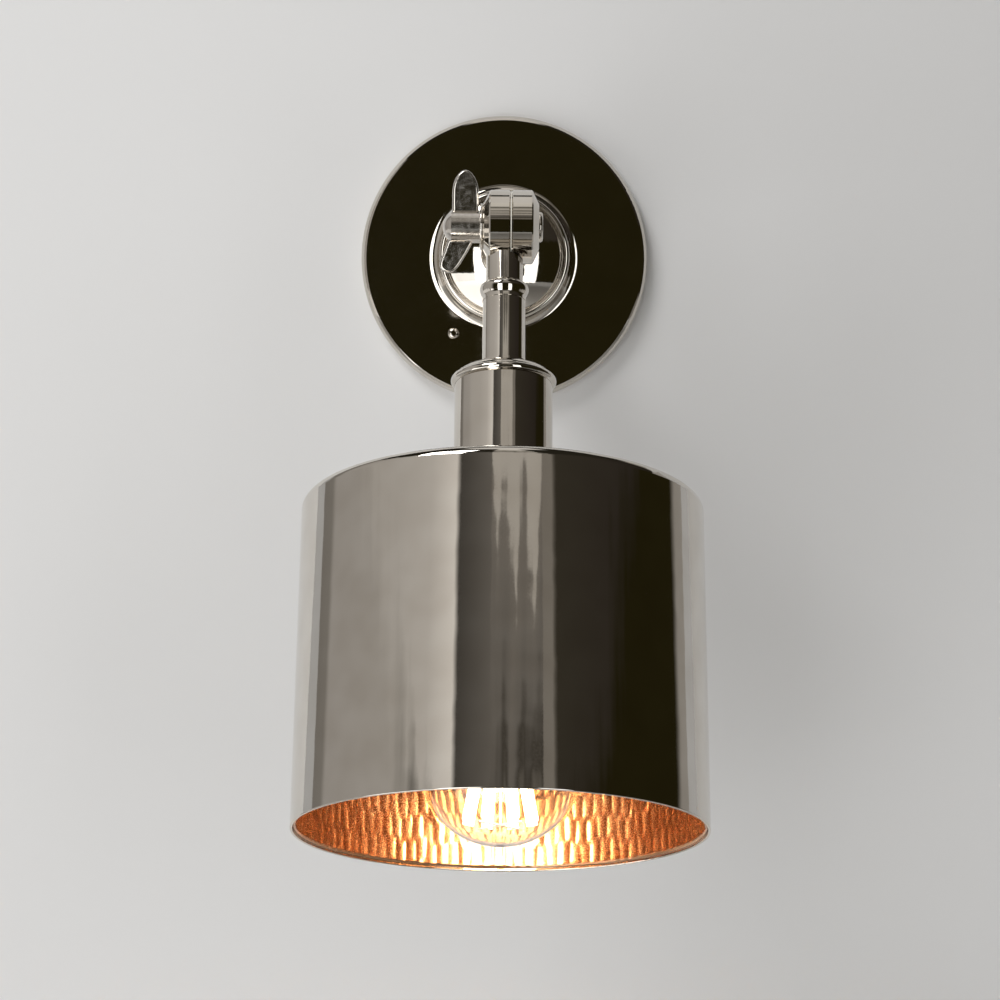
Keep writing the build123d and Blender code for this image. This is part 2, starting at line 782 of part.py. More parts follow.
def shell_outline(outer_inset, inner_inset, mouth):
    """Draw a shell's section between two insets from the shade's outer face."""
    Polyline(
        (rod_hole_radius, cup_end + outer_inset),
        (shade_land_radius, cup_end + outer_inset),
        (shade_top_radius - outer_inset, shade_edge + outer_inset),
        (shade_mouth_radius - outer_inset, mouth),
        (shade_mouth_radius - inner_inset, mouth),
        (shade_top_radius - inner_inset, shade_edge + inner_inset),
        (shade_land_radius, cup_end + inner_inset),
        (rod_hole_radius, cup_end + inner_inset),
        close=True,
    )


def round_top_edge(sketch, inset):
    """Round the shell's top edge on the face that lies this far in from the outer face."""
    corner = (shade_top_radius - inset, shade_edge + inset)
    fillet(sketch.vertices().sort_by_distance(corner)[0], shade_edge_round - inset)


# Shade: a spun shell, open at the mouth, with a shallow conical top under the cup.
with BuildPart() as shade:
    with BuildSketch(head_section) as shade_face:
        with BuildLine():
            shell_outline(0, shade_wall, shade_mouth)
        make_face()
        round_top_edge(shade_face, 0)
        round_top_edge(shade_face, shade_wall)
    revolve(axis=head_axis)
    fillet(shade.faces().sort_by(head_axis)[-1].edges(), shade_lip_round)
finish(shade, "shade")

# Lining: a thinner copper shell that sits just inside the shade.
lining_outer = shade_wall + slip_gap
lining_inner = lining_outer + lining_wall
with BuildPart() as shade_lining:
    with BuildSketch(head_section) as lining_face:
        with BuildLine():
            shell_outline(lining_outer, lining_inner, lining_mouth)
        make_face()
        round_top_edge(lining_face, lining_outer)
        round_top_edge(lining_face, lining_inner)
    revolve(axis=head_axis)
finish(shade_lining, "shade_lining")

with BuildPart() as clamp_washer:
    with BuildSketch(head_base.offset(lining_under)):
        Circle(clamp_washer_radius)
        Circle(rod_hole_radius, mode=Mode.SUBTRACT)
    extrude(amount=washer_height)
finish(clamp_washer, "clamp_washer")


# ==== Lampholder =========================================================================

with BuildPart() as holder_cap:
    with BuildSketch(head_base.offset(holder_start)):
        Circle(holder_radius)
    extrude(amount=holder_cap_length)
    fillet(holder_cap.faces().sort_by(head_axis)[0].edges(), holder_cap_edge)
    with BuildSketch(head_base.offset(holder_start + holder_wall)):
        Circle(holder_radius - holder_wall)
    extrude(amount=holder_cap_length, mode=Mode.SUBTRACT)
    with BuildSketch(head_base.offset(holder_start)):
        Circle(holder_boss_radius)
    extrude(amount=holder_boss_height)
    with BuildSketch(head_base.offset(holder_start)):
        Circle(thread_hole_radius)
    extrude(amount=holder_boss_height, mode=Mode.SUBTRACT)
finish(holder_cap, "holder_cap")

with BuildPart() as holder_nut:
    with BuildSketch(head_base.offset(holder_start + holder_boss_height)):
        RegularPolygon(nut_across_flats / 2, 6, major_radius=False)
        Circle(thread_hole_radius, mode=Mode.SUBTRACT)
    extrude(amount=nut_height)
finish(holder_nut, "holder_nut")

with BuildPart() as holder_shell:
    with BuildSketch(head_base.offset(holder_split)):
        Circle(holder_radius)
        Circle(holder_radius - holder_wall, mode=Mode.SUBTRACT)
    extrude(amount=holder_shell_length)
    with BuildSketch(head_base.offset(holder_end)):
        Circle(holder_radius)
        Circle(holder_mouth_radius, mode=Mode.SUBTRACT)
    extrude(amount=-holder_wall)
finish(holder_shell, "holder_shell")

# Insert: a ceramic disc with a rim that holds the screw shell upright.
screw_shell_outside = screw_shell_radius + screw_shell_wall
screw_places = [(-holder_screw_circle, 0), (holder_screw_circle, 0)]
with BuildPart() as holder_insert:
    with BuildSketch(head_base.offset(insert_start)):
        Circle(insert_radius)
        with Locations(screw_places):
            Circle(holder_screw_radius + thread_gap, mode=Mode.SUBTRACT)
    extrude(amount=insert_height)
    with BuildSketch(head_base.offset(insert_end)):
        Circle(insert_radius)
        Circle(screw_shell_outside + slip_gap, mode=Mode.SUBTRACT)
    extrude(amount=insert_rim)
finish(holder_insert, "holder_insert")

with BuildPart() as screw_shell:
    with BuildSketch(head_base.offset(insert_end)):
        Circle(screw_shell_outside)
        Circle(screw_shell_radius, mode=Mode.SUBTRACT)
    extrude(amount=screw_shell_length)
finish(screw_shell, "screw_shell")

with BuildPart() as holder_screws:
    for x, y in screw_places:
        with BuildSketch(head_base.offset(insert_start)):
            with Locations((x, y)):
                Circle(holder_screw_radius)
        extrude(amount=holder_screw_length)
        with BuildSketch(head_base.offset(insert_start)):
            with Locations((x, y)):
                Circle(holder_screw_head_radius)
        extrude(amount=-holder_screw_head_height)
finish(holder_screws, "holder_screws")

# Centre contact: a strip bent up from the insert to a leaf under the bulb's contact.
with BuildPart() as holder_contact:
    with BuildSketch(head_section):
        with BuildLine():
            Polyline(
                (-contact_width - contact_foot, insert_end),
                (-contact_width - contact_foot, insert_end + contact_thickness),
                (-contact_width - contact_thickness, insert_end + contact_thickness),
                (-contact_width - contact_thickness, contact_drop),
                (contact_width, contact_drop),
                (contact_width, contact_drop - contact_thickness),
                (-contact_width, contact_drop - contact_thickness),
                (-contact_width, insert_end),
                close=True,
            )
        make_face()
    extrude(amount=contact_width / 2, both=True)
finish(holder_contact, "holder_contact")

# Leads in the head: three cores down the rod's bore, then out to the insert's back.
with BuildPart() as head_leads:
    for i in range(block_ways):
        angle = radians(i * 120 - 210)
        across = Vector(cos(angle), sin(angle))
        near = across * lead_circle
        far = across * lead_end_circle
        places = [
            (near.X, near.Y, chamber_floor + slip_gap),
            (near.X, near.Y, head_rod_end + lead_bend),
            (far.X, far.Y, insert_start - lead_bend * 2),
            (far.X, far.Y, insert_start - slip_gap),
        ]
        points = [head_base.from_local_coords(Vector(*place)) for place in places]
        with BuildLine() as route:
            FilletPolyline(*points, radius=lead_bend)
        with BuildSketch(Plane(origin=route.line @ 0, z_dir=route.line % 0)):
            Circle(lead_radius)
        sweep(path=route.line)
finish(head_leads, "head_leads")


# ==== Bulb ===============================================================================

with BuildPart() as bulb_contact:
    with BuildSketch(head_base.offset(contact_drop)):
        Circle(bulb_contact_radius)
    extrude(amount=bulb_contact_height)
finish(bulb_contact, "bulb_contact")

with BuildPart() as bulb_insulator:
    with BuildSketch(head_section):
        with BuildLine():
            Polyline(
                (0, contact_drop + bulb_contact_height),
                (bulb_contact_radius, contact_drop + bulb_contact_height),
                (bulb_insulator_radius, bulb_cap_start),
                (0, bulb_cap_start),
                close=True,
            )
        make_face()
    revolve(axis=head_axis)
finish(bulb_insulator, "bulb_insulator")

with BuildPart() as bulb_cap:
    with BuildSketch(head_base.offset(bulb_cap_start)):
        Circle(bulb_cap_radius)
    extrude(amount=bulb_cap_length)
    fillet(bulb_cap.faces().sort_by(head_axis)[0].edges(), bulb_cap_edge)
    with BuildSketch(head_base.offset(bulb_cap_start + bulb_cap_wall)):
        Circle(bulb_cap_radius - bulb_cap_wall)
    extrude(amount=bulb_cap_length, mode=Mode.SUBTRACT)
finish(bulb_cap, "bulb_cap")


def bulb_outline(inset):
    """Draw the bulb's section, from the neck's end over the globe to its tip."""
    globe = bulb_radius - inset
    neck = bulb_cap_radius - inset
    rise = radians(bulb_shoulder)
    shoulder = (globe * cos(rise), bulb_middle - globe * sin(rise))
    Spline((neck, bulb_cap_end), shoulder, tangents=[(0, 1), (sin(rise), cos(rise))])
    ThreePointArc(
        shoulder,
        (globe * cos(rise / 2), bulb_middle + globe * sin(rise / 2)),
        (0, bulb_middle + globe),
    )
    Line((0, bulb_middle + globe), (0, bulb_cap_end))
    Line((0, bulb_cap_end), (neck, bulb_cap_end))


with BuildPart() as bulb_glass:
    with BuildSketch(head_section):
        with BuildLine():
            bulb_outline(0)
        make_face()
    revolve(axis=head_axis)
    with BuildSketch(head_section):
        with BuildLine():
            bulb_outline(bulb_glass_wall)
        make_face()
    revolve(axis=head_axis, mode=Mode.SUBTRACT)
finish(bulb_glass, "bulb_glass")

# Mount: the glass foot that closes the neck, drawn out to a post.
mount_foot_radius = bulb_cap_radius - bulb_glass_wall - slip_gap
with BuildPart() as bulb_mount:
    with BuildSketch(head_section):
        with BuildLine():
            Polyline(
                (0, bulb_cap_end),
                (mount_foot_radius, bulb_cap_end),
                (mount_foot_radius, bulb_cap_end + bulb_glass_wall),
                (mount_radius, bulb_cap_end + mount_flare),
                (mount_radius, mount_head),
                (0, mount_head),
                close=True,
            )
        make_face()
    revolve(axis=head_axis)
finish(bulb_mount, "bulb_mount")


# Filaments: four straight lit sticks that lean outwards towards the tip.
stick_top = mount_head + filament_start
stick_end = stick_top + filament_length
stick_ways = [
    Vector(cos(radians(45 + i * 360 / filament_count)), sin(radians(45 + i * 360 / filament_count)))
    for i in range(filament_count)
]
with BuildPart() as filaments:
    for way in stick_ways:
        foot = way * filament_top_circle + Vector(0, 0, stick_top)
        tip = way * filament_mouth_circle + Vector(0, 0, stick_end)
        start = head_base.from_local_coords(foot)
        run = head_base.from_local_coords(tip) - start
        with BuildSketch(Plane(origin=start, z_dir=run)):
            Circle(filament_radius)
        extrude(amount=run.length)
finish(filaments, "filaments")

# Filament frame: a wire up the middle, with an arm out to each end of each stick.
top_arm = stick_top - filament_radius
end_arm = stick_end + filament_radius
frame_wires = [(Vector(0, 0, mount_head), Vector(0, 0, end_arm))]
for way in stick_ways:
    for drop, circle in ((top_arm, filament_top_circle), (end_arm, filament_mouth_circle)):
        frame_wires.append((Vector(0, 0, drop), way * circle + Vector(0, 0, drop)))

with BuildPart() as filament_frame:
    for foot, tip in frame_wires:
        start = head_base.from_local_coords(foot)
        run = head_base.from_local_coords(tip) - start
        with BuildSketch(Plane(origin=start, z_dir=run)):
            Circle(support_radius)
        extrude(amount=run.length)
finish(filament_frame, "filament_frame")
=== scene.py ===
# %% [markdown]
# # An adjustable wall light
#
# A round rose on the wall carries a straight arm. A knuckle with a wing screw joins the arm
# to a tube shade that is lined with hammered copper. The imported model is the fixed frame:
# it gives each piece its true size and place. This lesson dresses it with finishes, builds
# the hammered lining by hand, and lights it as a small product studio would.

# %% Load the frame
import json
import math
import random

import bmesh
import bpy
from mathutils import Matrix, Vector


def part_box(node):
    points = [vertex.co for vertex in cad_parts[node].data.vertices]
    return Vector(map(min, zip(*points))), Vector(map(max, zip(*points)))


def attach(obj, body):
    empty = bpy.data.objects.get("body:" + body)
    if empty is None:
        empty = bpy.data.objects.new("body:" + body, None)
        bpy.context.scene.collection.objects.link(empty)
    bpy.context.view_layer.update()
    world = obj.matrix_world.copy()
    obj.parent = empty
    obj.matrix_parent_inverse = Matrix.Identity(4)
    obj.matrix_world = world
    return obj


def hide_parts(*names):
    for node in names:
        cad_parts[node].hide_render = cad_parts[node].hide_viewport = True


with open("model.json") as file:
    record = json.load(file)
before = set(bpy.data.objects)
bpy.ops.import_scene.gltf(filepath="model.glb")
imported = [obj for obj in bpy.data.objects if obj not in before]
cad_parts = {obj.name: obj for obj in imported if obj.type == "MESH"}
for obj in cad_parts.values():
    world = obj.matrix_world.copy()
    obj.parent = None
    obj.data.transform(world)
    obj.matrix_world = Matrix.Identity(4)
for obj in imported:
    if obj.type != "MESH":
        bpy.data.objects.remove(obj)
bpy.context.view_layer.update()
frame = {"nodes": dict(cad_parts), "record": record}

# %% [markdown]
# Everything is in metres, but a maker thinks in millimetres, so one value turns the one into
# the other. Colours are written as the hex values that a paint chart gives. A renderer adds
# light in linear values, so one function converts them.

# %% Units and colour
MM = 0.001


def srgb(code):
    """Turn a hex colour such as "C9C3B8" into linear red, green, blue and alpha."""
    channels = [int(code[i : i + 2], 16) / 255 for i in (0, 2, 4)]
    linear = [c / 12.92 if c <= 0.04045 else ((c + 0.055) / 1.055) ** 2.4 for c in channels]
    return (*linear, 1.0)


print("mid grey 808080 is", round(srgb("808080")[0], 3), "in linear light")

# %% [markdown]
# ## Camera
#
# The photograph was taken square to the wall with a long lens, from a height between the
# knuckle and the shade's mouth. So the rose looks round, and the mouth shows only because
# the shade leans out from the wall. The camera looks level: aiming it up or down would make
# upright edges lean. It is turned by nearly half a degree, as the picture is.

# %% Place the camera
camera_place = Vector((-0.0010, -1.3178, -0.1039))
camera_roll = math.radians(0.45)
sensor_width = 36.0  # in mm, as camera makers and Blender give it
focal_length = 109.8

camera_data = bpy.data.cameras.new("camera")
camera_data.sensor_width = sensor_width
camera_data.lens = focal_length
camera = bpy.data.objects.new("camera", camera_data)
camera.matrix_world = (
    Matrix.Translation(camera_place)
    @ Matrix.Rotation(math.pi / 2, 4, "X")
    @ Matrix.Rotation(camera_roll, 4, "Z")
)
bpy.context.scene.collection.objects.link(camera)
bpy.context.scene.camera = camera
print("camera stands", round(-camera_place.y, 3), "m from the wall")

# %% [markdown]
# ## The first finish: matt paint
#
# A finish is a small network of shader nodes. One function adds a node, gives it its settings
# and joins its inputs. An input is either a plain value or the output of an earlier node.
#
# The wall and the floor have matt emulsion on them. It scatters light, so it is rough, and
# the roller leaves a faint nap. A picture of paint would do for one view only, but a noise of
# the right size holds at any distance. The wall's paint is clear from behind, so that the
# light's back can be looked at through the wall.

# %% Mix the matt paint
roller_nap = 3.125 * MM  # how far apart the bumps of a rolled coat stand


def add(tree, kind, inputs=None, **settings):
    """Add a node of this kind to a node tree and return it."""
    node = tree.nodes.new(kind)
    for name, value in settings.items():
        setattr(node, name, value)
    for key, value in (inputs or {}).items():
        if isinstance(value, bpy.types.NodeSocket):
            tree.links.new(value, node.inputs[key])
        else:
            node.inputs[key].default_value = value
    return node


def new_material(name):
    """Start a material with an empty tree and return both."""
    material = bpy.data.materials.new(name)
    material.use_nodes = True
    material.node_tree.nodes.clear()
    return material, material.node_tree


def matt_paint(name, code, one_sided):
    """Matt emulsion, rolled on: rough, with a faint nap."""
    material, tree = new_material(name)
    place = add(tree, "ShaderNodeTexCoord").outputs["Object"]
    nap = add(tree, "ShaderNodeTexNoise", {"Vector": place, "Scale": 1 / roller_nap})
    bump = add(tree, "ShaderNodeBump", {"Height": nap.outputs["Fac"], "Strength": 0.05, "Distance": 0.2 * MM})
    coat = {"Base Color": srgb(code), "Roughness": 0.9, "Normal": bump.outputs[0]}
    surface = add(tree, "ShaderNodeBsdfPrincipled", coat).outputs[0]
    if one_sided:
        behind = add(tree, "ShaderNodeNewGeometry").outputs["Backfacing"]
        clear = add(tree, "ShaderNodeBsdfTransparent").outputs[0]
        surface = add(tree, "ShaderNodeMixShader", {0: behind, 1: surface, 2: clear}).outputs[0]
    add(tree, "ShaderNodeOutputMaterial", {"Surface": surface})
    return material


wall_paint = matt_paint("matt_wall_paint", "E6E6E6", one_sided=True)
floor_paint = matt_paint("matt_floor_paint", "E8E8E7", one_sided=False)
print("mixed", wall_paint.name, "and", floor_paint.name)

# %% [markdown]
# ## The wall
#
# The light hangs on a plain wall. One flat face would do for the front view, but it would
# close the rose's open back, which would then render black. So the panel has a round hole
# behind the rose, a little smaller than the rose. The panel's outline and the hole are drawn
# as rings of edges, and a triangle fill closes what lies between them.

# %% Build the wall panel
wall_half_width = 0.305
wall_top = 0.42
wall_foot = -0.75
wall_hole_radius = 57.0 * MM
wall_hole_sides = 64


def ring_edges(shape, corners):
    """Join these corners into a closed ring of edges."""
    made = [shape.verts.new(corner) for corner in corners]
    return [shape.edges.new((made[i - 1], made[i])) for i in range(len(made))]


def put_in_scene(name, shape, material):
    """Turn a drawn shape into an object with one material."""
    mesh = bpy.data.meshes.new(name)
    shape.to_mesh(mesh)
    shape.free()
    mesh.materials.append(material)
    made = bpy.data.objects.new(name, mesh)
    bpy.context.scene.collection.objects.link(made)
    return made


wall_corners = [
    (-wall_half_width, 0, wall_foot),
    (wall_half_width, 0, wall_foot),
    (wall_half_width, 0, wall_top),
    (-wall_half_width, 0, wall_top),
]
turns = [2 * math.pi * i / wall_hole_sides for i in range(wall_hole_sides)]
hole_corners = [(wall_hole_radius * math.cos(a), 0, wall_hole_radius * math.sin(a)) for a in turns]

wall_shape = bmesh.new()
wall_edges = ring_edges(wall_shape, wall_corners) + ring_edges(wall_shape, hole_corners)
bmesh.ops.triangle_fill(wall_shape, edges=wall_edges, use_beauty=True)
for face in wall_shape.faces:
    face.normal_update()
    if face.normal.y > 0:
        face.normal_flip()
wall = put_in_scene("wall", wall_shape, wall_paint)
print("wall panel is", 2 * wall_half_width, "m wide, with", len(wall.data.polygons), "faces")

# %% [markdown]
# ## The floor
#
# The floor lies well below the light and out of the main picture. It is a single pale face.
# A lamp from below could do its work, but a real floor throws the softest light up under
# the shade, and views from the side can see it too.

# %% Lay the floor
floor_drop = 1.1
floor_half = 3.0

floor_shape = bmesh.new()
floor_corners = [
    (-floor_half, -floor_half, -floor_drop),
    (floor_half, -floor_half, -floor_drop),
    (floor_half, floor_half, -floor_drop),
    (-floor_half, floor_half, -floor_drop),
]
floor_shape.faces.new([floor_shape.verts.new(corner) for corner in floor_corners])
floor = put_in_scene("floor", floor_shape, floor_paint)
print("floor lies", floor_drop, "m below the arm")

# %% [markdown]
# ## The studio round the camera
#
# Polished metal has hardly any colour of its own: it shows the room. In the photograph the
# room is a dark studio with a pale grey area on the left and near-black on the right. That
# room could be painted on the world, but then a side view would stand in the dark. So it is
# a set piece instead: a curved screen round the camera that only reflections and light see.
#
# Its paint goes by direction, as a map of the sky does. The first step turns each point of
# the screen into two angles, seen from the light: how far it lies to the right of the camera
# and how high it stands.

# %% Find each point's direction
screen_centre = Vector((0, -0.2, -0.1))

screen_paint, screen_tree = new_material("studio_screen_paint")
place = add(screen_tree, "ShaderNodeTexCoord").outputs["Object"]
away = add(screen_tree, "ShaderNodeVectorMath", {0: place, 1: screen_centre}, operation="SUBTRACT")
way = add(screen_tree, "ShaderNodeVectorMath", {0: away.outputs[0]}, operation="NORMALIZE").outputs[0]
parts = add(screen_tree, "ShaderNodeSeparateXYZ", {0: way})
ahead = add(screen_tree, "ShaderNodeMath", {0: parts.outputs["Y"], 1: -1.0}, operation="MULTIPLY")
sides = {0: parts.outputs["X"], 1: ahead.outputs[0]}
turn = add(screen_tree, "ShaderNodeMath", sides, operation="ARCTAN2").outputs[0]
rise = add(screen_tree, "ShaderNodeMath", {0: parts.outputs["Z"]}, operation="ARCSINE").outputs[0]
print("direction found with", len(screen_tree.nodes), "nodes")

# %% [markdown]
# A room's shelves, curtains and lamp stands don't end on straight level lines. Hard level
# edges on the shade would look drawn. So a slow noise bends every edge between two zones up
# and down by a degree or two.

# %% Bend the level edges
edge_waves = 9.0  # waves per radian
edge_bend = 0.04  # radians
noise_low = 0.3  # nearly all values of a noise lie between this
noise_high = 0.7  # and this

waves = add(screen_tree, "ShaderNodeTexNoise", {"Vector": way, "Scale": edge_waves, "Detail": 2.0})
bend_range = {0: waves.outputs["Fac"], 1: noise_low, 2: noise_high, 3: -edge_bend, 4: edge_bend}
bend = add(screen_tree, "ShaderNodeMapRange", bend_range)
level = add(screen_tree, "ShaderNodeMath", {0: rise, 1: bend.outputs[0]}, operation="ADD").outputs[0]
print("edges bend by up to", round(math.degrees(edge_bend), 1), "degrees")

# %% [markdown]
# The screen has three zones by height: a pale zone below, a dark zone at eye level, and the
# room above. Each has its own pattern from left to right, a list of greys by their angle to
# the right of the camera. Two greys side by side make a hard edge, such as the end of a
# curtain, and two far apart make a slow change. A fourth pattern says how far down the dark
# zone reaches: white is the full depth.

# %% Paint the patterns from left to right
above_band = {
    -170: "B2AFAB",
    -128: "B2AFAB",
    -126: "7E7A75",
    -115: "86827D",
    -112: "ABA7A3",
    -84: "B8B4AF",
    -64: "BCB8B3",
    -45: "C8C4BF",
    -29: "EAE6E1",
    -27.5: "4A4743",
    -4: "6F6B66",
    14: "7E7973",
    31: "837E77",
    33: "3A362E",
    64: "35302A",
    91: "2E2924",
    114: "262219",
    117: "9B9792",
    150: "ABA7A2",
}
level_band = {
    -170: "B2AFAB",
    -128: "B2AFAB",
    -126: "7E7A75",
    -115: "86827D",
    -112: "A8A4A0",
    -64: "B0ACA7",
    -52: "24200F",
    113: "24200F",
    117: "9B9792",
}
below_band = {
    -150: "F4F2EF",
    -35: "E4E1DD",
    -20: "C0BBB4",
    -2: "8B867F",
    8: "3A362E",
    60: "2A2620",
    95: "A09C97",
    150: "D4D1CD",
}
dark_foot = {-80: "000000", -40: "FFFFFF", 40: "FFFFFF", 80: "000000"}


def set_stops(ramp, stops):
    """Give a colour ramp its stops, as pairs of position and hex colour."""
    elements = ramp.color_ramp.elements
    while len(elements) > 1:
        elements.remove(elements[-1])
    elements[0].position, elements[0].color = stops[0][0], srgb(stops[0][1])
    for position, code in stops[1:]:
        elements.new(position).color = srgb(code)


around = add(screen_tree, "ShaderNodeMapRange", {0: turn, 1: -math.pi, 2: math.pi})
zones = {}
for name, band in {"above": above_band, "level": level_band, "below": below_band, "foot": dark_foot}.items():
    ramp = add(screen_tree, "ShaderNodeValToRGB", {0: around.outputs[0]})
    set_stops(ramp, [((angle + 180) / 360, code) for angle, code in band.items()])
    zones[name] = ramp.outputs[0]
print("patterns from left to right:", sorted(zones))

# %% [markdown]
# What stands right behind the camera shows as stripes on the knuckle and as the broken strip
# down the middle of the shade: shelves, beams and a pale top. It could be built from boards,
# but at this distance rows of light and dark say as much. They fill a gap in the room above,
# from the dark zone's top up to the ceiling.

# %% Paint the rows behind the camera
dark_top = math.radians(20)
light_roof = math.radians(76)  # above this the screen is a pale ceiling
front_middle = math.radians(9)  # the rows stand a little to the right
front_half = math.radians(16)
front_rows = [
    (0.0, "3A3630"),
    (0.07, "8A857D"),
    (0.12, "45413B"),
    (0.17, "6F6B66"),
    (0.243, "7A756F"),
    (0.254, "B4AFA8"),
    (0.33, "B9B4AC"),
    (0.38, "4A463F"),
    (0.44, "C4BFB7"),
    (0.50, "544F48"),
    (0.60, "CFCAC2"),
    (0.68, "5A554E"),
    (0.80, "D8D4CD"),
    (1.0, "E2DED8"),
]

row_height = add(screen_tree, "ShaderNodeMapRange", {0: level, 1: dark_top, 2: light_roof})
rows_ahead = add(screen_tree, "ShaderNodeValToRGB", {0: row_height.outputs[0]})
set_stops(rows_ahead, front_rows)
offset = add(screen_tree, "ShaderNodeMath", {0: turn, 1: front_middle}, operation="SUBTRACT")
sideways = add(screen_tree, "ShaderNodeMath", {0: offset.outputs[0]}, operation="ABSOLUTE")
is_front = add(screen_tree, "ShaderNodeMath", {0: sideways.outputs[0], 1: front_half}, operation="LESS_THAN")
print("rows of light and dark:", len(front_rows))

# %% [markdown]
# Each zone starts at a height of its own. A mask is 0 below that height and 1 above it. The
# edges of the room above are soft, because they stand far off and out of focus. The foot of
# the dark zone is sharp, and it lies lower ahead than at the sides.

# %% Mark where each zone starts
soft_edge = 0.04  # radians, half the width of a soft edge
side_top = math.radians(45)  # above this the sides of the room are dark up to the ceiling
side_horizon = math.radians(-8)
front_horizon = math.radians(-38)

soft_edges = {
    "head": (level, dark_top + soft_edge / 2),
    "sides": (level, side_top),
    "roof": (rise, light_roof),
}
over = {}
for name, (height, middle) in soft_edges.items():
    edge = {0: height, 1: middle - soft_edge, 2: middle + soft_edge}
    over[name] = add(screen_tree, "ShaderNodeMapRange", edge).outputs[0]
foot_angle = add(screen_tree, "ShaderNodeMapRange", {0: zones["foot"], 3: side_horizon, 4: front_horizon})
over_foot = {0: level, 1: foot_angle.outputs[0]}
over["foot"] = add(screen_tree, "ShaderNodeMath", over_foot, operation="GREATER_THAN").outputs[0]
print("zones start at:", sorted(over))

# %% [markdown]
# Now the zones are laid over one another from the floor up, like sheets of paper, each where
# its mask is 1. The result glows by itself, so the screen needs no lamps of its own.

# %% Stack the zones
high_side_grey = "2A2720"
ceiling_grey = "DCD9D5"


def lay_over(tree, ground, layers):
    """Lay colours over a ground colour, each where its mask is 1."""
    for mask, colour in layers:
        layer = add(tree, "ShaderNodeMix", {"Factor": mask, "A": ground, "B": colour}, data_type="RGBA")
        ground = layer.outputs["Result"]
    return ground


room_layers = [(over["sides"], srgb(high_side_grey)), (is_front.outputs[0], rows_ahead.outputs[0])]
room_above = lay_over(screen_tree, zones["above"], room_layers)
all_layers = [(over["foot"], zones["level"]), (over["head"], room_above), (over["roof"], srgb(ceiling_grey))]
whole_room = lay_over(screen_tree, zones["below"], all_layers)
glow = add(screen_tree, "ShaderNodeEmission", {"Color": whole_room, "Strength": 1.0})
add(screen_tree, "ShaderNodeOutputMaterial", {"Surface": glow.outputs[0]})
print("the screen's paint has", len(screen_tree.nodes), "nodes")

# %% [markdown]
# The screen itself is most of a ball. A flat backdrop would leave gaps at the sides, where a
# round shade looks. It is open behind the wall and at the floor. The camera doesn't see it
# and it throws no shadow, so lamps outside it still reach the light.

# %% Build the studio screen
screen_radius = 2.6
screen_columns = 96
screen_rows = 48
screen_back = 1.3  # how far behind the wall the screen reaches round
screen_foot = 0.01 - floor_drop  # just above the floor

screen_shape = bmesh.new()
bmesh.ops.create_uvsphere(
    screen_shape, u_segments=screen_columns, v_segments=screen_rows, radius=screen_radius
)
bmesh.ops.translate(screen_shape, verts=screen_shape.verts, vec=screen_centre)
left_out = [v for v in screen_shape.verts if v.co.y > screen_back or v.co.z < screen_foot]
bmesh.ops.delete(screen_shape, geom=left_out, context="VERTS")
screen = put_in_scene("studio_screen", screen_shape, screen_paint)
screen.visible_camera = False
screen.visible_shadow = False
print("studio screen has", len(screen.data.polygons), "faces")

# %% [markdown]
# ## Lamps
#
# Two upright softboxes stand at eye level, one on each side of the camera. Every bead and
# rounded edge shows them as a pair of white patches, while the leaning side of the shade
# looks over them. A wide box stands low on the left, so the soft shadow falls up and to the
# right on the wall. One more stands high up and evens out the wall. Small bright lamps could
# light as much, but their shadows would be hard.

# %% Add the softboxes
aim_point = Vector((0, -0.1, -0.1))


def softbox(name, place, width, height, watts):
    """Make a white rectangular lamp that looks at the light's middle."""
    data = bpy.data.lights.new(name, "AREA")
    data.shape = "RECTANGLE"
    data.size = width
    data.size_y = height
    data.energy = watts
    lamp = bpy.data.objects.new(name, data)
    look = aim_point - Vector(place)
    lamp.matrix_world = Matrix.Translation(place) @ look.to_track_quat("-Z", "Y").to_matrix().to_4x4()
    bpy.context.scene.collection.objects.link(lamp)
    lamp.visible_camera = False
    return lamp


key_box = softbox("key_box", (-0.42, -1.30, -0.13), width=0.44, height=0.78, watts=3.2)
fill_box = softbox("fill_box", (0.58, -1.30, -0.13), width=0.36, height=0.78, watts=2.0)
low_box = softbox("low_box", (-0.75, -0.95, -0.75), width=1.1, height=1.0, watts=5.4)
top_box = softbox("top_box", (-0.62, -0.8, 0.98), width=0.6, height=0.5, watts=8.5)
print("lamps:", key_box.name, fill_box.name, low_box.name, top_box.name)

# %% [markdown]
# The world is plain and pale. Metal shows it wherever no set piece stands in front of it, as
# in a view from behind the wall. A sky picture would tint the nickel, so it is one grey.
# The Standard view shows each colour about as it is written.

# %% Light the world
world_grey = "E6E6E6"
world_strength = 0.6

world = bpy.data.worlds.new("pale_room")
bpy.context.scene.world = world
world.use_nodes = True
background = world.node_tree.nodes["Background"]
background.inputs["Color"].default_value = srgb(world_grey)
background.inputs["Strength"].default_value = world_strength
bpy.context.scene.view_settings.view_transform = "Standard"
print("world strength is", world_strength)

# %% [markdown]
# ## Nickel plate
#
# The rose, arm, knuckle, stem and shade are turned or spun, plated with nickel and buffed.
# Nickel is a warm grey and nearly a mirror. Spinning and buffing leave slow waves, which make
# the reflections swim a little, and faint swirls. The swirls are scratches about 0.05 mm wide.
# They are drawn 0.6 mm apart, coarser than real, because finer ones wouldn't show. Both come
# from noise and act as bump, because they are far too shallow for geometry.

# %% Plate and buff the nickel
swirl_spacing = 0.6 * MM
swirl_low = 0.35  # up to this value of the noise the plate is clean
buffing_wave = 14.0 * MM
nickel_gloss = (0.025, 0.07)  # roughness, from a clean place to a rubbed one


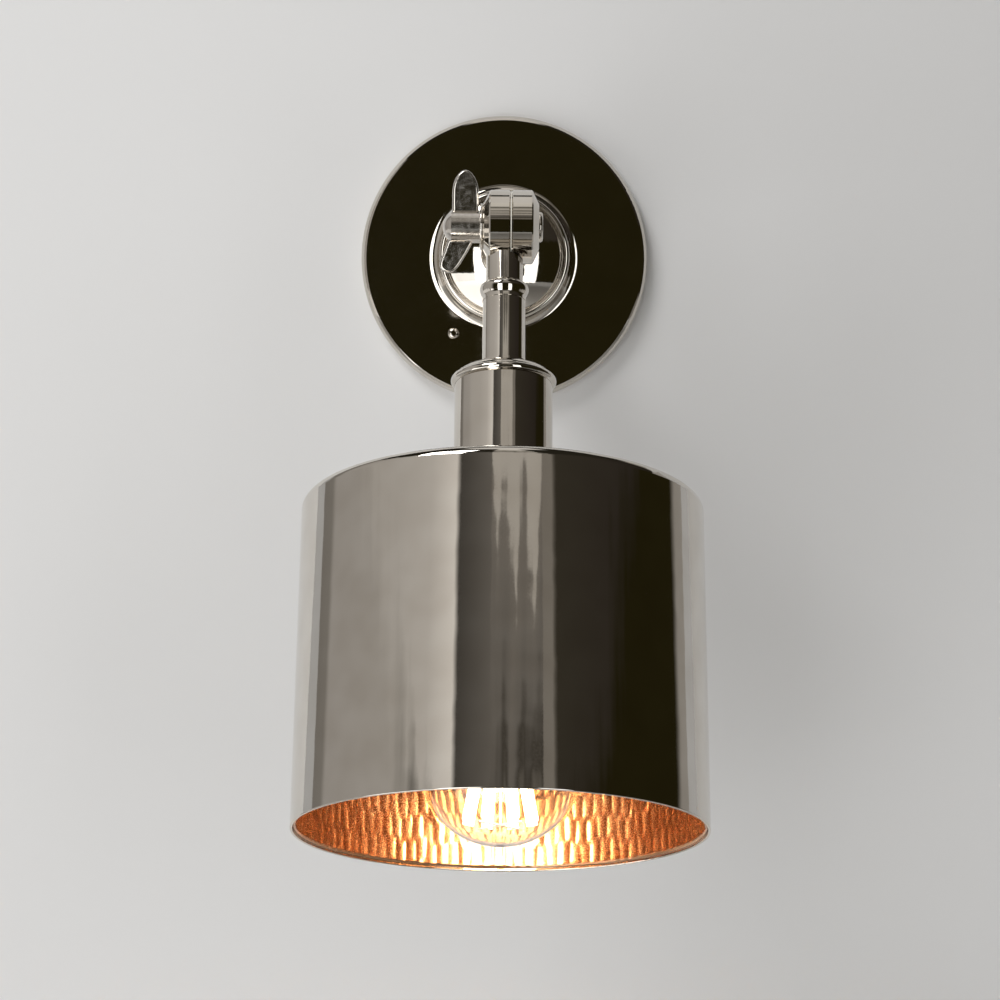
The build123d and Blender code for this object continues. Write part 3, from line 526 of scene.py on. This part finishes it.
def polished_nickel_plate():
    """Nickel plate, spun or turned, then buffed. Nearly a mirror, with soft waves."""
    material, tree = new_material("buffed_nickel_plate")
    place = add(tree, "ShaderNodeTexCoord").outputs["Object"]
    waves = {"Vector": place, "Scale": 1 / buffing_wave, "Detail": 1.0}
    wave = add(tree, "ShaderNodeTexNoise", waves).outputs["Fac"]
    swirls = {"Vector": place, "Scale": 1 / swirl_spacing, "Detail": 3.0}
    swirl = add(tree, "ShaderNodeTexNoise", swirls).outputs["Fac"]
    tone = add(tree, "ShaderNodeValToRGB", {0: wave})
    set_stops(tone, [(noise_low, "CDC7BE"), (noise_high, "D6D1C9")])
    clean, rubbed = nickel_gloss
    gloss = add(tree, "ShaderNodeMapRange", {0: swirl, 1: swirl_low, 2: noise_high, 3: clean, 4: rubbed})
    soft = add(tree, "ShaderNodeBump", {"Height": wave, "Strength": 0.12, "Distance": 0.5 * MM})
    fine = {"Height": swirl, "Strength": 0.03, "Distance": 0.02 * MM, "Normal": soft.outputs[0]}
    plate = {
        "Base Color": tone.outputs[0],
        "Metallic": 1.0,
        "Roughness": gloss.outputs[0],
        "Normal": add(tree, "ShaderNodeBump", fine).outputs[0],
    }
    surface = add(tree, "ShaderNodeBsdfPrincipled", plate).outputs[0]
    add(tree, "ShaderNodeOutputMaterial", {"Surface": surface})
    return material


finish_of_slot = {"polished_nickel": polished_nickel_plate()}
print("nickel swirls are drawn", round(swirl_spacing / MM, 2), "mm apart")

# %% [markdown]
# ## The other metals
#
# The inner fittings are zinc plated steel, pressed brass and aluminium. None is polished, so
# each varies in tone and gloss with a grain of its own size, and one function can make them
# all. Copper sheet is here for the plain lining, which the hammered one covers later.
#
# The wing screw is cast, then buffed and plated. Buffing can't reach every pore of a casting,
# so its faces are a little cloudy: patches about 2 mm wide shine less than the rest.

# %% Make the other metals
cast_cloud = 2.0 * MM


def plain_metal(name, dark, light, gloss_range, grain, depth):
    """A metal whose tone and roughness vary with a grain of real size."""
    material, tree = new_material(name)
    place = add(tree, "ShaderNodeTexCoord").outputs["Object"]
    grains = {"Vector": place, "Scale": 1 / grain, "Detail": 4.0}
    noise = add(tree, "ShaderNodeTexNoise", grains).outputs["Fac"]
    tone = add(tree, "ShaderNodeValToRGB", {0: noise})
    set_stops(tone, [(noise_low, dark), (noise_high, light)])
    shiny, dull = gloss_range
    gloss = add(tree, "ShaderNodeMapRange", {0: noise, 1: noise_low, 2: noise_high, 3: shiny, 4: dull})
    bump = add(tree, "ShaderNodeBump", {"Height": noise, "Strength": 0.5, "Distance": depth})
    metal = {
        "Base Color": tone.outputs[0],
        "Metallic": 1.0,
        "Roughness": gloss.outputs[0],
        "Normal": bump.outputs[0],
    }
    surface = add(tree, "ShaderNodeBsdfPrincipled", metal).outputs[0]
    add(tree, "ShaderNodeOutputMaterial", {"Surface": surface})
    return material


finish_of_slot["zinc_steel"] = plain_metal(
    "zinc_plated_steel", "A5A7A8", "BCBEBF", (0.28, 0.42), grain=1.2 * MM, depth=0.01 * MM
)
finish_of_slot["brass"] = plain_metal(
    "plain_pressed_brass", "B99A55", "CDB06C", (0.22, 0.36), grain=1.5 * MM, depth=0.01 * MM
)
finish_of_slot["cap_aluminium"] = plain_metal(
    "bright_aluminium", "BFBFBF", "D2D2D2", (0.25, 0.38), grain=1.0 * MM, depth=0.01 * MM
)
finish_of_slot["hammered_copper"] = plain_metal(
    "copper_sheet", "B0683F", "C67C52", (0.2, 0.34), grain=2.0 * MM, depth=0.02 * MM
)
cast_nickel = plain_metal(
    "buffed_cast_nickel", "BDB8B1", "D3CEC7", (0.10, 0.22), grain=cast_cloud, depth=0.012 * MM
)
print("metals so far:", len(finish_of_slot) + 1)

# %% [markdown]
# ## Plastics, porcelain and dark glass
#
# The terminal block and the friction washer are moulded nylon, the leads have a PVC jacket,
# the lampholder's core is glazed porcelain, and a ring of black glass closes the bulb's cap.
# A single flat colour would look like paint, so each gets a slight unevenness at its own
# scale, as a moulded or fired piece has.

# %% Make the plastics, the porcelain and the dark glass


def plain_body(name, dark, light, roughness, grain, depth):
    """A non-metal with a slight mottle and a fine surface texture."""
    material, tree = new_material(name)
    place = add(tree, "ShaderNodeTexCoord").outputs["Object"]
    grains = {"Vector": place, "Scale": 1 / grain, "Detail": 3.0}
    noise = add(tree, "ShaderNodeTexNoise", grains).outputs["Fac"]
    tone = add(tree, "ShaderNodeValToRGB", {0: noise})
    set_stops(tone, [(noise_low, dark), (noise_high, light)])
    bump = add(tree, "ShaderNodeBump", {"Height": noise, "Strength": 0.3, "Distance": depth})
    body = {"Base Color": tone.outputs[0], "Roughness": roughness, "Normal": bump.outputs[0]}
    surface = add(tree, "ShaderNodeBsdfPrincipled", body).outputs[0]
    add(tree, "ShaderNodeOutputMaterial", {"Surface": surface})
    return material


finish_of_slot["nylon"] = plain_body(
    "moulded_nylon", "DCD9CF", "E4E1D8", 0.45, grain=1.5 * MM, depth=0.02 * MM
)
finish_of_slot["lead_jacket"] = plain_body(
    "pvc_lead_jacket", "453A32", "52463C", 0.5, grain=1.0 * MM, depth=0.02 * MM
)
finish_of_slot["porcelain"] = plain_body(
    "glazed_porcelain", "E6E3D9", "EFEDE5", 0.15, grain=3.0 * MM, depth=0.02 * MM
)
finish_of_slot["black_glass"] = plain_body(
    "black_moulded_glass", "101012", "18181B", 0.1, grain=2.0 * MM, depth=0.01 * MM
)
print("finishes so far:", len(finish_of_slot) + 1)

# %% [markdown]
# ## The bulb's glass
#
# The globe is clear soda glass, blown thin. Its index of refraction is 1.52, and blowing
# leaves a faint ripple about 9 mm long. A renderer would give thin glass a dark shadow,
# because it traces shadows in straight lines. Real thin glass hardly has one, so shadow rays
# pass through it here.

# %% Blow the glass
glass_ripple = 9.0 * MM
soda_glass_ior = 1.52


def blown_soda_glass():
    """Clear thin glass with the faint ripple that blowing leaves."""
    material, tree = new_material("blown_soda_glass")
    place = add(tree, "ShaderNodeTexCoord").outputs["Object"]
    ripples = {"Vector": place, "Scale": 1 / glass_ripple, "Detail": 1.0}
    ripple = add(tree, "ShaderNodeTexNoise", ripples).outputs["Fac"]
    bump = add(tree, "ShaderNodeBump", {"Height": ripple, "Strength": 0.08, "Distance": 0.3 * MM})
    body = {
        "Base Color": srgb("FBFBF9"),
        "Roughness": 0.0,
        "IOR": soda_glass_ior,
        "Transmission Weight": 1.0,
        "Normal": bump.outputs[0],
    }
    glass = add(tree, "ShaderNodeBsdfPrincipled", body).outputs[0]
    is_shadow = add(tree, "ShaderNodeLightPath").outputs["Is Shadow Ray"]
    clear = add(tree, "ShaderNodeBsdfTransparent").outputs[0]
    surface = add(tree, "ShaderNodeMixShader", {0: is_shadow, 1: glass, 2: clear}).outputs[0]
    add(tree, "ShaderNodeOutputMaterial", {"Surface": surface})
    return material


finish_of_slot["clear_glass"] = blown_soda_glass()
print("glass bends light by", soda_glass_ior)

# %% [markdown]
# ## The lit sticks
#
# The bulb's sticks are coated with a phosphor that glows warm white. The coat is a powder, so
# it is rough and a little beady, at about 1.5 mm. It glows by itself. How strongly it glows is
# matched: the sticks go white and keep a warm edge.

# %% Coat the sticks
phosphor_bead = 1.5 * MM
phosphor_strength = 14.0


def lit_phosphor():
    """Glowing phosphor, a little uneven along the stick."""
    material, tree = new_material("lit_phosphor_coat")
    place = add(tree, "ShaderNodeTexCoord").outputs["Object"]
    beads = add(tree, "ShaderNodeTexNoise", {"Vector": place, "Scale": 1 / phosphor_bead})
    tone = add(tree, "ShaderNodeValToRGB", {0: beads.outputs["Fac"]})
    set_stops(tone, [(noise_low, "FFDDA8"), (noise_high, "FFEAC4")])
    coat = {
        "Base Color": tone.outputs[0],
        "Roughness": 0.6,
        "Emission Color": tone.outputs[0],
        "Emission Strength": phosphor_strength,
    }
    surface = add(tree, "ShaderNodeBsdfPrincipled", coat).outputs[0]
    add(tree, "ShaderNodeOutputMaterial", {"Surface": surface})
    return material


finish_of_slot["filament_phosphor"] = lit_phosphor()
print("finishes for slots:", sorted(finish_of_slot))

# %% [markdown]
# ## Dressing the frame
#
# Each CAD node keeps its mesh and takes the finish of its record slot. Finishes could be set
# piece by piece, but the record already says which piece is made of what. The wing screw is
# the exception: it shares the nickel slot, but it is cast, so it has a finish of its own.

# %% Dress the CAD nodes
for part in frame["record"]["subparts"]:
    node = frame["nodes"][part["node"]]
    finish = cast_nickel if part["node"] == "wing_screw" else finish_of_slot[part["material_slot"]]
    node.data.materials.clear()
    node.data.materials.append(finish)

# %% [markdown]
# ## The hammered copper lining
#
# The lining and the bulb lean with the shade. So their points are placed by their distance
# below the knuckle's joint, their distance from the head's axis and their turn round it. The
# joint's place and the way that the bulb slides out come from the record, and with them the
# scene follows the model when its lean changes.

# %% Find the head's axis
joints = {joint["name"]: joint for joint in frame["record"]["behaviour"]["joints"]}
knuckle_joint = Vector(joints["head_tilt"]["pos_m"])
down_head = Vector(joints["bulb_out"]["axis"]).normalized()
right = Vector((1, 0, 0))
front_head = down_head.cross(right)


def head_point(radius, angle, drop):
    """A point round the head's axis, at this radius, turn and drop below the joint."""
    outwards = right * math.sin(angle) + front_head * math.cos(angle)
    return knuckle_joint + down_head * drop + outwards * radius


print("the head leans", round(math.degrees(down_head.angle(Vector((0, 0, -1)))), 2), "degrees")

# %% [markdown]
# A coppersmith strikes the sheet with a narrow cross-peen hammer. Each blow leaves a slim
# upright hollow about 4.3 mm wide and 7.5 to 10 mm tall. The blows stand side by side in rows
# round the shade, like small bricks, and no two are alike. So each blow draws its force and
# its lean by chance, from a seed that gives the same sheet every time.

# %% Strike the blows
facet_width = 4.3 * MM
facet_height = 9.0 * MM
mouth_drop = 233.8 * MM  # the shade's mouth, below the joint
lining_lip = 1.2 * MM  # the lining stops this far short of the mouth
lining_mouth_drop = mouth_drop - lining_lip
lining_mouth_radius = 73.35 * MM  # to the inner face
lining_top_drop = 116.4 * MM

blows_round = round(2 * math.pi * lining_mouth_radius / facet_width)
blow_rows = round((lining_mouth_drop - lining_top_drop) / facet_height)
chance = random.Random(4)
blows = {}
for row in range(-1, blow_rows + 1):
    for column in range(blows_round):
        blows[row, column] = (
            chance.uniform(-0.22, 0.22),  # how far its lower end is from the row's line
            chance.uniform(0.4, 1.0),  # its force
            chance.uniform(-0.45, 0.45),  # its lean to one side
            chance.uniform(-0.45, 0.45),  # its lean up or down
        )
row_shift = []
for row in range(-1, blow_rows + 2):
    brick_step = chance.uniform(0.25, 0.75) * (row % 2)
    row_shift.append(brick_step + chance.uniform(-0.2, 0.2))
print("blows:", blows_round, "round the shade in", blow_rows, "rows")

# %% [markdown]
# The hammer's face is curved across and nearly straight along, so a blow is deepest along
# its middle line and rises faster and faster towards its sides. Where two blows meet they
# leave a sharp ridge. A bump map could draw that, but each hollow has to reflect the lit bulb
# on its own, also at the rim where the sheet is seen edge on. So the dents are real geometry.

# %% Shape one dent
end_share = 0.6  # how much of a blow's uneven end is used
side_curve = 3.4  # how fast a hollow rises towards its sides
deepest = 1.25  # in facet depths


def dent(across, down):
    """How deep the blow is here, in facets across and down: a slim hollow with sharp sides."""
    uneven_end = blows[0, math.floor(across) % blows_round][0]
    row = math.floor(down - uneven_end * end_share)
    row = max(-1, min(row, blow_rows))
    moved = across + row_shift[row + 1]
    column = math.floor(moved) % blows_round
    force, side_lean, rise_lean = blows[row, column][1:]
    x = moved - math.floor(moved) - 0.5
    y = down - row - 0.5
    hollow = force * (1 - side_curve * x * x) + side_lean * x + rise_lean * y
    return max(0.0, min(deepest, hollow))


print("depths across one facet:", [round(dent(5 + i / 4, 6.5), 2) for i in range(5)])

# %% [markdown]
# The lining is a skin of rings from the top's inner edge, down the dented inner face, round
# the lip and up the plain outer face again, so it is closed all round as real sheet is. Its
# top is a shallow plain cone with a hole for the rod. A grid could be displaced by a
# modifier, but pushing each point in the loop that makes it keeps every blow's depth exact.

# %% Draw the lining's rings
facet_depth = 0.35 * MM
steps_per_facet = 8
lining_outer_radius = 74.0 * MM  # to the outer face, just inside the shade
lining_top_radius = 72.25 * MM
lining_outer_top_radius = 72.9 * MM
cone_drop = 100.05 * MM
cone_wall = 0.7 * MM
cone_land = 20.5 * MM  # the flat round the rod
rod_hole = 5.3 * MM
calm_top = 1 / 30  # the share of the height, at the top, over which the dents fade in

columns = blows_round * steps_per_facet
rows = blow_rows * steps_per_facet
lining_shape = bmesh.new()


def ring_of_points(radii, drop):
    """Add a ring of points round the head's axis, one for each radius."""
    return [
        lining_shape.verts.new(head_point(radius, 2 * math.pi * i / columns, drop))
        for i, radius in enumerate(radii)
    ]


def dented_ring(share):
    """Add one ring of the dented face, at this share of the way from the top to the mouth."""
    drop = lining_top_drop + (lining_mouth_drop - lining_top_drop) * share
    base = lining_top_radius + (lining_mouth_radius - lining_top_radius) * share - facet_depth
    depth = facet_depth * min(1.0, share / calm_top)
    dents = [dent(i / steps_per_facet, share * blow_rows) for i in range(columns)]
    return ring_of_points([base + push * depth for push in dents], drop)


cone_inside = [
    (rod_hole, cone_drop),
    (cone_land, cone_drop),
    (lining_top_radius - 2.0 * MM, lining_top_drop - 2.2 * MM),
    (lining_top_radius - 0.4 * MM, lining_top_drop - 1.2 * MM),
]
outer_face = [
    (lining_outer_radius, lining_mouth_drop),
    (lining_outer_top_radius, lining_top_drop),
    (lining_top_radius - 1.8 * MM, lining_top_drop - 2.6 * MM - cone_wall),
    (cone_land, cone_drop - cone_wall),
    (rod_hole, cone_drop - cone_wall),
]
rings = [ring_of_points([radius] * columns, drop) for radius, drop in cone_inside]
rings += [dented_ring(j / rows) for j in range(rows + 1)]
rings += [ring_of_points([radius] * columns, drop) for radius, drop in outer_face]
print("rings of points:", len(rings), "of", columns, "points each")

# %% [markdown]
# Beaten copper is warm and uneven: heat and handling leave it browner in places, in patches
# about 22 mm wide. The dents are in the mesh already, so the finish only adds tone and the
# fine scratches of the hammer's face, which run about 0.4 mm apart.

# %% Mix the beaten copper
scratch_spacing = 0.4 * MM
heat_patch = 22.0 * MM
copper_gloss = (0.18, 0.3)


def beaten_copper():
    """Copper sheet, hammered and lightly lacquered, with a patchy warm tone."""
    material, tree = new_material("beaten_copper_sheet")
    place = add(tree, "ShaderNodeTexCoord").outputs["Object"]
    patches = {"Vector": place, "Scale": 1 / heat_patch, "Detail": 3.0}
    patch = add(tree, "ShaderNodeTexNoise", patches).outputs["Fac"]
    tone = add(tree, "ShaderNodeValToRGB", {0: patch})
    set_stops(tone, [(0.3, "B27E58"), (0.55, "C69670"), (0.75, "D4AA86")])
    scratches = {"Vector": place, "Scale": 1 / scratch_spacing, "Detail": 2.0}
    scratch = add(tree, "ShaderNodeTexNoise", scratches).outputs["Fac"]
    shiny, dull = copper_gloss
    gloss = add(tree, "ShaderNodeMapRange", {0: scratch, 1: noise_low, 2: noise_high, 3: shiny, 4: dull})
    bump = add(tree, "ShaderNodeBump", {"Height": scratch, "Strength": 0.08, "Distance": 0.03 * MM})
    sheet = {
        "Base Color": tone.outputs[0],
        "Metallic": 1.0,
        "Roughness": gloss.outputs[0],
        "Normal": bump.outputs[0],
    }
    surface = add(tree, "ShaderNodeBsdfPrincipled", sheet).outputs[0]
    add(tree, "ShaderNodeOutputMaterial", {"Surface": surface})
    return material


copper_sheet = beaten_copper()
print("copper scratches run", round(scratch_spacing / MM, 2), "mm apart")

# %% [markdown]
# Four-sided faces join each ring to the next, and the last ring to the first, which closes
# the sheet. The real lining is a sheet of its own inside the shade, so it is a separate
# object here. It takes the place of the solids' plain lining and moves with the head.

# %% Close and place the lining
for upper, lower in zip(rings, rings[1:] + rings[:1]):
    for i in range(columns):
        k = (i + 1) % columns
        lining_shape.faces.new((upper[i], upper[k], lower[k], lower[i]))
lining = put_in_scene("hammered_lining", lining_shape, copper_sheet)
lining.data.shade_smooth()
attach(lining, "head")
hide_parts("shade_lining")
print("hammered lining has", len(lining.data.polygons), "faces")

# %% [markdown]
# ## The light of the bulb
#
# In the photograph the lit sticks are lost in one white column of light, some 30 mm wide. The
# bare CAD rods look too thin for that. A glare could be added to the finished picture, but
# then other views would lack it. So eight fatter sticks stand in a ring and take their place.
# They lean outwards as the rods do and stay well inside the globe.

# %% Stand the lit sticks
stick_count = 8
stick_radius = 2.0 * MM  # fatter than real, to stand for the glare round them
stick_sides = 12
stick_top_circle = 6.0 * MM
stick_foot_circle = 12.5 * MM
stick_top_drop = 196.2 * MM  # below the joint, as the CAD rods
stick_foot_drop = 230.1 * MM

stick_shape = bmesh.new()
for k in range(stick_count):
    angle = 2 * math.pi * (k + 0.5) / stick_count
    top = head_point(stick_top_circle, angle, stick_top_drop)
    foot = head_point(stick_foot_circle, angle, stick_foot_drop)
    along = foot - top
    bmesh.ops.create_cone(
        stick_shape,
        cap_ends=True,
        segments=stick_sides,
        radius1=stick_radius,
        radius2=stick_radius,
        depth=along.length,
        matrix=Matrix.Translation((top + foot) / 2) @ along.to_track_quat("Z", "Y").to_matrix().to_4x4(),
    )
sticks = put_in_scene("lit_sticks", stick_shape, finish_of_slot["filament_phosphor"])
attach(sticks, "bulb")
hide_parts("filaments")
print("lit sticks:", stick_count, "with", len(sticks.data.polygons), "faces")

# %% [markdown]
# The sticks glow, but a renderer finds a lamp far more easily than thin rods, and the copper
# would be speckled by their light alone. So a small warm lamp hangs among them and rides with
# the bulb.

# %% Hang the bulb's lamp
bulb_watts = 1.6
bulb_lamp_radius = 5.0 * MM

bulb_data = bpy.data.lights.new("bulb_light", "POINT")
bulb_data.energy = bulb_watts
bulb_data.color = srgb("FFE3B8")[:3]
bulb_data.shadow_soft_size = bulb_lamp_radius
bulb_light = bpy.data.objects.new("bulb_light", bulb_data)
stick_low, stick_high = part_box("filaments")
bulb_light.location = (stick_low + stick_high) / 2
bpy.context.scene.collection.objects.link(bulb_light)
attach(bulb_light, "bulb")
print("bulb lamp stands at", [round(c, 4) for c in bulb_light.location])
